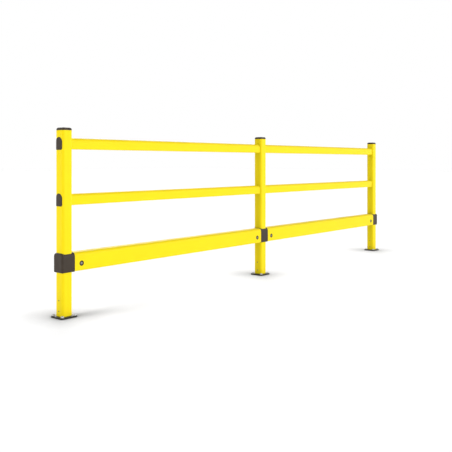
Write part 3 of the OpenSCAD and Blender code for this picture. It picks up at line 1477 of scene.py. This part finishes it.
    def set_out(
        self,
        name: str,
        single: bpy.types.Object,
        pattern: Pattern,
        centre: Vector,
        finish: bpy.types.Material,
        play: float,
        seed: int,
    ) -> bpy.types.Object:
        """Repeats a fastener and keeps the result as one mesh.

        Args:
            name: name of the piece.
            single: the fastener about the origin, facing up.
            pattern: where it repeats.
            centre: middle of the pattern.
            finish: its material.
            play: largest turn about its own axis, in radians.
            seed: seed of the turns.

        Returns:
            The finished piece.
        """
        made = bpy.data.objects.new(name, bpy.data.meshes.new(name))
        bpy.context.scene.collection.objects.link(made)
        nodes = made.modifiers.new("SetOut", "NODES")
        nodes.node_group = self.tree
        values = {
            "Fastener": single,
            "Finish": finish,
            "Columns": pattern.columns,
            "Rows": pattern.rows,
            "Column Pitch": pattern.pitch[0],
            "Row Pitch": pattern.pitch[1],
            "Turn": pattern.turn,
            "Outward": pattern.outward,
            "Upward": pattern.upward,
            "Centre": tuple(centre),
            "Play": play,
            "Seed": seed,
        }
        for key, value in values.items():
            nodes[self.socket(key)] = value
        return freeze(made)


@dataclass(frozen=True)
class AnchorBolt:
    """A hexagon anchor with its washer, standing on the foot plate.

    Attributes:
        shank_d: diameter of the shank.
        head_w: width of the head across its flats.
        head_h: height of the head.
        washer_d: diameter of the washer.
        washer_t: thickness of the washer.
    """

    shank_d: float = 10.0 * MM
    head_w: float = 16.0 * MM
    head_h: float = 6.5 * MM
    washer_d: float = 22.0 * MM
    washer_t: float = 2.0 * MM

    def single(self, plate: float) -> bpy.types.Object:
        """Builds one anchor that stands on a plate.

        Args:
            plate: thickness of the plate.

        Returns:
            The anchor about the origin.
        """
        shell = Shell("anchor")
        shaft = [(-0.8 * MM, 0.0), (0.0, 0.8 * MM), (0.0, plate + self.washer_t)]
        shell.loft(sections(Polygon(self.shank_d, 32), Axis.Z, shaft))
        washer = bar_rows(plate, plate + self.washer_t, 0.2 * MM, 0.45 * MM, 3)
        shell.loft(sections(Polygon(self.washer_d, 48), Axis.Z, washer))
        seat = plate + self.washer_t
        top = seat + self.head_h
        hexagon = [(0.0, seat), (0.0, top - 0.9 * MM), (-0.9 * MM, top)]
        shell.loft(sections(Polygon(self.head_w, 6), Axis.Z, hexagon))
        crown = [(-0.5 * MM, top - 0.6 * MM), (-1.1 * MM, top - 0.02 * MM), (-2.2 * MM, top)]
        shell.loft(sections(Polygon(self.head_w - 0.6 * MM, 48), Axis.Z, crown))
        return shell.finish(24.0)


@dataclass(frozen=True)
class ButtonHead:
    """A low round head with a hexagon socket and its shank.

    Attributes:
        head_d: diameter of the head.
        head_h: height of the head.
        shank_d: diameter of the shank.
        socket_w: width of the socket across its flats.
        socket_depth: depth of the socket.
        round_share: share of the height that is rounded.
    """

    head_d: float
    head_h: float
    shank_d: float
    socket_w: float
    socket_depth: float
    round_share: float = 0.6

    def single(self, shank: float) -> bpy.types.Object:
        """Builds one screw that faces up, its head's seat at the origin.

        Args:
            shank: length below the seat.

        Returns:
            The screw about the origin.
        """
        shell = Shell("button")
        bulge = self.round_share * self.head_h
        neck = -self.head_d / 2 + self.shank_d / 2
        rows = [(neck, -shank), (neck, 0.0), (-0.15 * MM, 0.0), (0.0, 0.15 * MM)]
        rows += lip(bulge, 0.0, self.head_h, 1, 1, 8)
        rows.append((-self.head_d / 2 + 0.3 * MM, self.head_h))
        shell.loft(sections(Polygon(self.head_d, 48), Axis.Z, rows))
        button = shell.finish(30.0)
        floor = self.head_h - self.socket_depth
        key = rod(Polygon(self.socket_w, 6), Axis.Z, floor, self.head_h + 2 * MM, (0.0, 0.0, 0.0))
        return cut(button, [key], 30.0)


@dataclass(frozen=True)
class BoltCup:
    """The moulded cup that a rail bolt's head sits in.

    Attributes:
        outer_d: diameter of the cup.
        wall: thickness of its wall.
        base: thickness of its floor.
        depth: depth from the rail's face to the seat.
        hole_d: diameter of the bolt's hole.
        rim_r: radius of the rim.
    """

    outer_d: float = 33.4 * MM
    wall: float = 3.0 * MM
    base: float = 5.0 * MM
    depth: float = 8.3 * MM
    hole_d: float = 10.8 * MM
    rim_r: float = 0.9 * MM

    def single(self) -> bpy.types.Object:
        """Builds one cup that opens upward, its rim at the origin.

        Returns:
            The cup.
        """
        radius = self.outer_d / 2
        hole = radius - self.hole_d / 2
        floor = self.base - self.depth
        rows = [(0.0, -self.depth)]
        rows += lip(self.rim_r, 0.0, 0.0, 1, 1, 4)
        rows += lip(self.rim_r, -self.wall, 0.0, -1, 1, 4)[::-1]
        rows += [(-self.wall, floor + 0.6 * MM), (-self.wall - 0.6 * MM, floor)]
        rows += [(-hole + 0.4 * MM, floor), (-hole, floor - 0.4 * MM), (-hole, -self.depth)]
        shell = Shell("cup")
        shell.loft(sections(Polygon(self.outer_d, 48), Axis.Z, rows), True)
        return shell.finish(40.0)


class Fasteners:
    """Sets out the anchors, the post screws, the rail bolts and their cups."""

    def __init__(self, paints: Paints) -> None:
        """Makes the tree and keeps the materials."""
        self.paints = paints
        self.tree = FastenerTree()

    def lay(
        self,
        single: bpy.types.Object,
        node: str,
        pattern: Pattern,
        centre: Vector,
        coat: Coat,
        play: float,
    ) -> None:
        """Sets out one node's fasteners and dresses them.

        Args:
            single: the fastener to repeat.
            node: the node that they stand for.
            pattern: where it repeats.
            centre: middle of the pattern.
            coat: their coat.
            play: largest turn about its own axis, in radians.
        """
        seed = SEED + sum(ord(letter) for letter in node)
        material = self.paints.get(coat)
        piece = self.tree.set_out(f"barrier_{node}", single, pattern, centre, material, play, seed)
        self.paints.dress(piece, coat, node)

    def anchors(self) -> None:
        """Sets four anchors on each foot plate."""
        bolt = AnchorBolt()
        plate = BasePlate(Station.MIDDLE).thick
        single = bolt.single(plate)
        for station in Station:
            node = f"anchor_bolts_{station.value}"
            low, high = span(node)
            centre = (low + high) / 2
            centre.z = low.z
            pitch = (high.x - low.x - bolt.washer_d, high.y - low.y - bolt.washer_d)
            pattern = Pattern(2, 2, pitch, upward=(0.0, 0.0, 1.0))
            self.lay(single, node, pattern, centre, Coat.ZINC, 0.9)
        drop(single)

    def post_screws(self) -> None:
        """Sets two screws into each side of each post."""
        head = ButtonHead(8.0 * MM, 2.0 * MM, 5.0 * MM, 3.0 * MM, 1.1 * MM, 0.85)
        single = head.single(11.5 * MM)
        for station in Station:
            node = f"post_screws_{station.value}"
            low, high = span(node)
            post_low, post_high = span(f"post_{station.value}")
            pitch = (post_high.x - post_low.x, high.z - low.z - head.head_d)
            pattern = Pattern(2, 2, pitch, (math.pi / 2, 0.0, 0.0), (1.0, 0.0, 0.0))
            self.lay(single, node, pattern, (low + high) / 2, Coat.SCREW, 1.0)
        drop(single)

    def rail_bolts(self) -> None:
        """Sets the bolts and cups at both ends of each impact rail."""
        head = ButtonHead(16.0 * MM, 6.0 * MM, 10.0 * MM, 6.0 * MM, 3.2 * MM, 0.8)
        cup = BoltCup()
        for bay in ("left", "right"):
            for end in ("outer", "inner"):
                node = f"rail_bolt_{bay}_{end}"
                low, high = span(node)
                seat = (high.y - low.y) / 2 - head.head_h
                bolt = head.single(seat)
                across = Pattern(1, 2, (0.0, 2 * seat), outward=(0.0, 1.0, 0.0))
                self.lay(bolt, node, across, (low + high) / 2, Coat.BOLT, 1.0)
                drop(bolt)
                node = f"bolt_cups_{bay}_{end}"
                low, high = span(node)
                shell = cup.single()
                across = Pattern(1, 2, (0.0, high.y - low.y), outward=(0.0, 1.0, 0.0))
                self.lay(shell, node, across, (low + high) / 2, Coat.MOULDING, 0.0)
                drop(shell)

    def dress(self) -> None:
        """Sets out every kind of fastener."""
        self.anchors()
        self.post_screws()
        self.rail_bolts()


# ---------------------------------------------------------------- studio


def showing(tree: bpy.types.NodeTree) -> bpy.types.NodeSocket:
    """Tells the rays that show the background, plainly or in metal, from those that light.

    Args:
        tree: the node tree that the nodes go in.

    Returns:
        The socket that is 1 for camera, glossy and transmission rays, and 0 for the rest.
    """
    path = tree.nodes.new("ShaderNodeLightPath")
    found = path.outputs["Is Camera Ray"]
    for kind in ("Is Glossy Ray", "Is Transmission Ray"):
        larger = tree.nodes.new("ShaderNodeMath")
        larger.operation = "MAXIMUM"
        tree.links.new(found, larger.inputs[0])
        tree.links.new(path.outputs[kind], larger.inputs[1])
        found = larger.outputs[0]
    return found


class Reach(Enum):
    """What a lamp lights."""

    FLOOR = "floor"
    BARRIER = "barrier"
    LEFT_END = "left end"


class Shade(Enum):
    """What throws a lamp's shadow."""

    ALL = ()
    FEET = ("barrier_post_", "barrier_base_plate_", "barrier_anchor_bolts_", "barrier_collar_")
    LEFT_FOOT = tuple(f"{start}left" for start in FEET)


@dataclass
class Studio:
    """White sweep, lamps and camera.

    Attributes:
        floor_half: half of the floor's side.
        ambient: strength of the even light from all round.
        floor_gain: factor by which the floor shows lighter than it lights.
        painted_shade_reach: distance over which a painted shade darkens the floor round a foot.
        painted_shade_depth: how strongly the painted shade darkens it.
        paper: the floor, once it is built.
    """

    floor_half: float = 60.0
    ambient: float = 0.10
    floor_gain: float = 0.935
    painted_shade_reach: float = 0.27
    painted_shade_depth: float = 2.3
    paper: bpy.types.Object | None = None

    def floor(self) -> bpy.types.Object:
        """Builds the floor with its paper finish and a painted shade round the feet.

        Returns:
            The floor.
        """
        low, _ = FRAME_BOUNDS
        shell = Shell("studio_floor")
        slab = Outline(2 * self.floor_half, 2 * self.floor_half, 1.0, 1.0, 4)
        shell.loft(sections(slab, Axis.Z, [(0.0, low[2] - 0.02), (0.0, low[2] - 0.0002)]))
        floor = shell.finish()
        paper = bpy.data.materials.new("StudioPaper")
        paper.use_nodes = True
        paper.node_tree.nodes.clear()
        sheet = NodeSheet(paper)
        fibre = sheet.ramp(sheet.noise(60.0, 2.0), 0.998, 1.002)
        level = sheet.node("ShaderNodeMapRange")
        level.inputs["To Min"].default_value = 0.80
        level.inputs["To Max"].default_value = self.floor_gain
        sheet.join(showing(paper.node_tree), level.inputs["Value"])
        # painted shade: ambient occlusion, raised to a power, darkens the paper's colour round the
        # feet and stands in for their contact shadow
        painted_shade_ao = sheet.node("ShaderNodeAmbientOcclusion", samples=24)
        painted_shade_ao.inputs["Distance"].default_value = self.painted_shade_reach
        deep = sheet.reckon("POWER", painted_shade_ao.outputs["AO"], self.painted_shade_depth)
        toned = sheet.reckon("MULTIPLY", fibre, deep)
        grey = sheet.reckon("MULTIPLY", level.outputs["Result"], toned)
        colour = sheet.node("ShaderNodeCombineColor")
        for channel in ("Red", "Green", "Blue"):
            sheet.join(grey, colour.inputs[channel])
        shader = sheet.node("ShaderNodeBsdfDiffuse")
        out = sheet.node("ShaderNodeOutputMaterial")
        sheet.join(colour.outputs["Color"], shader.inputs["Color"])
        sheet.join(shader.outputs["BSDF"], out.inputs["Surface"])
        floor.data.materials.append(paper)
        floor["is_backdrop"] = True
        self.paper = floor
        return floor

    def world(self) -> None:
        """Makes the surround: white where it is seen, even grey light elsewhere."""
        world = bpy.data.worlds.new("Studio")
        bpy.context.scene.world = world
        world.use_nodes = True
        tree = world.node_tree
        tree.nodes.clear()
        mix = tree.nodes.new("ShaderNodeMixShader")
        out = tree.nodes.new("ShaderNodeOutputWorld")
        tree.links.new(showing(tree), mix.inputs["Fac"])
        for slot, strength in ((1, self.ambient), (2, 1.0)):
            light = tree.nodes.new("ShaderNodeBackground")
            light.inputs["Color"].default_value = (1.0, 1.0, 1.0, 1.0)
            light.inputs["Strength"].default_value = strength
            tree.links.new(light.outputs["Background"], mix.inputs[slot])
        tree.links.new(mix.outputs["Shader"], out.inputs["Surface"])

    def group(self, name: str, members: Iterable[bpy.types.Object]) -> bpy.types.Collection:
        """Returns the named collection that lamps are linked to, filled the first time.

        Args:
            name: name of the collection.
            members: the objects that it holds.

        Returns:
            The collection.
        """
        found = bpy.data.collections.get(name)
        if found is None:
            found = bpy.data.collections.new(name)
            for member in members:
                found.objects.link(member)
        return found

    def hang(self, lamp: bpy.types.Object, reach: Reach, shade: Shade) -> None:
        """Puts a lamp in the scene and says what it lights and what shades it.

        Args:
            lamp: the lamp's object.
            reach: what the lamp lights.
            shade: what throws its shadow.
        """
        bpy.context.scene.collection.objects.link(lamp)
        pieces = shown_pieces()
        if reach is Reach.FLOOR:
            lamp.light_linking.receiver_collection = self.group("Paper", [self.paper])
        elif reach is Reach.BARRIER:
            lamp.light_linking.receiver_collection = self.group("Barrier", pieces)
        else:
            near = [piece for piece in pieces if piece.name.endswith("_left")]
            lamp.light_linking.receiver_collection = self.group("LeftEnd", near)
        if shade is not Shade.ALL:
            feet = [piece for piece in pieces if piece.name.startswith(shade.value)]
            lamp.light_linking.blocker_collection = self.group(f"Shade{shade.name}", feet)

    def sun(
        self,
        name: str,
        azimuth: float,
        elevation: float,
        level: float,
        spread: float,
        reach: Reach = Reach.BARRIER,
        shade: Shade = Shade.ALL,
    ) -> None:
        """Adds a broad distant lamp.

        Args:
            name: name of the lamp.
            azimuth: where it stands, in degrees from +X towards +Y.
            elevation: height over the floor, in degrees.
            level: brightness of a white surface that faces it.
            spread: angle that it fills, in degrees.
            reach: what the lamp lights.
            shade: what throws its shadow.
        """
        data = bpy.data.lights.new(name, "SUN")
        data.energy = level * math.pi
        data.angle = math.radians(spread)
        lamp = bpy.data.objects.new(name, data)
        lamp.rotation_euler = (math.radians(90 - elevation), 0.0, math.radians(azimuth + 90))
        self.hang(lamp, reach, shade)

    def panel(
        self, name: str, at: Vector, target: Vector, size: tuple[float, float], power: float
    ) -> None:
        """Adds a rectangular soft box that lights the left end.

        Args:
            name: name of the lamp.
            at: its middle.
            target: the point it faces.
            size: its width and height.
            power: its power in watts.
        """
        data = bpy.data.lights.new(name, "AREA")
        data.shape = "RECTANGLE"
        data.size = size[0]
        data.size_y = size[1]
        data.energy = power
        lamp = bpy.data.objects.new(name, data)
        lamp.location = at
        lamp.rotation_euler = (target - at).to_track_quat("-Z", "Y").to_euler()
        self.hang(lamp, Reach.LEFT_END, Shade.ALL)

    def lamps(self) -> None:
        """Places the lamps: some light the barrier, the others draw its shadows on the paper."""
        post_low, post_high = span("post_left")
        end = (post_low + post_high) / 2 + Vector((0.0, 0.0, 0.1))
        self.sun("FrontLeftLight", -86.0, 14.0, 0.47, 40.0)
        self.sun("FrontRightLight", -45.0, 14.0, 0.42, 50.0)
        self.sun("SideLight", 172.0, 22.0, 0.27, 40.0)
        self.sun("BackLight", 60.0, 24.0, 0.46, 50.0)
        self.panel("EndPanel", end + Vector((-1.1, 0.6, 0.0)), end, (0.8, 1.6), 6.8)
        self.sun("PaperFront", -84.0, 64.0, 0.18, 34.0, Reach.FLOOR, Shade.FEET)
        self.sun("PaperFrontRight", -58.0, 60.0, 0.11, 36.0, Reach.FLOOR, Shade.FEET)
        self.sun("PaperBack", 50.0, 40.0, 0.19, 26.0, Reach.FLOOR, Shade.FEET)
        self.sun("PaperBackRight", 30.0, 52.0, 0.07, 30.0, Reach.FLOOR, Shade.FEET)
        self.sun("PaperSide", 150.0, 60.0, 0.08, 36.0, Reach.FLOOR, Shade.FEET)
        self.sun("PaperEndNear", 150.0, 66.0, 0.20, 34.0, Reach.FLOOR, Shade.LEFT_FOOT)
        self.sun("PaperEnd", 166.0, 62.0, 0.28, 22.0, Reach.FLOOR, Shade.LEFT_FOOT)
        self.sun("PaperEndFar", 180.0, 66.0, 0.10, 26.0, Reach.FLOOR, Shade.LEFT_FOOT)

    def camera(self) -> None:
        """Sets up the level camera in front of the left end."""
        data = bpy.data.cameras.new("Camera")
        data.sensor_width = 36.0
        data.lens = 52.04
        data.shift_y = -0.141
        data.clip_end = 500.0
        camera = bpy.data.objects.new("Camera", data)
        camera.location = (-4.436, -3.343, 0.951)
        camera.rotation_euler = (math.radians(90.0), 0.0, math.radians(-50.0))
        bpy.context.scene.collection.objects.link(camera)
        bpy.context.scene.camera = camera

    def build(self) -> None:
        """Builds floor, surround, lamps and camera."""
        bpy.context.scene.view_settings.view_transform = "Standard"
        self.floor()
        self.world()
        self.lamps()
        self.camera()


class Barrier:
    """The whole barrier."""

    def __init__(self) -> None:
        """Makes the shared materials."""
        self.paints = Paints()

    def build(self) -> None:
        """Builds and dresses every piece."""
        for station in Station:
            Post(station).dress(self.paints)
            PostCap(station).dress(self.paints)
            BasePlate(station).dress(self.paints)
            Collar(station).dress(self.paints)
        for bay in ("left", "right"):
            ImpactRail(bay).dress(self.paints)
            for level in ("hand_rail", "mid_rail"):
                SlimRail(f"{level}_{bay}").dress(self.paints)
                EndPlug(level, bay).dress(self.paints)
        Fasteners(self.paints).dress()


def plain(corners: Sequence[Sequence[float]]) -> list[list[float]]:
    """Returns corners as plain lists of numbers."""
    return [[float(value) for value in corner] for corner in corners]


def main() -> None:
    """Builds the barrier and its studio."""
    logging.basicConfig(level=logging.INFO, format="%(message)s")
    Barrier().build()
    Studio().build()


if __name__ == "__main__":
    main()
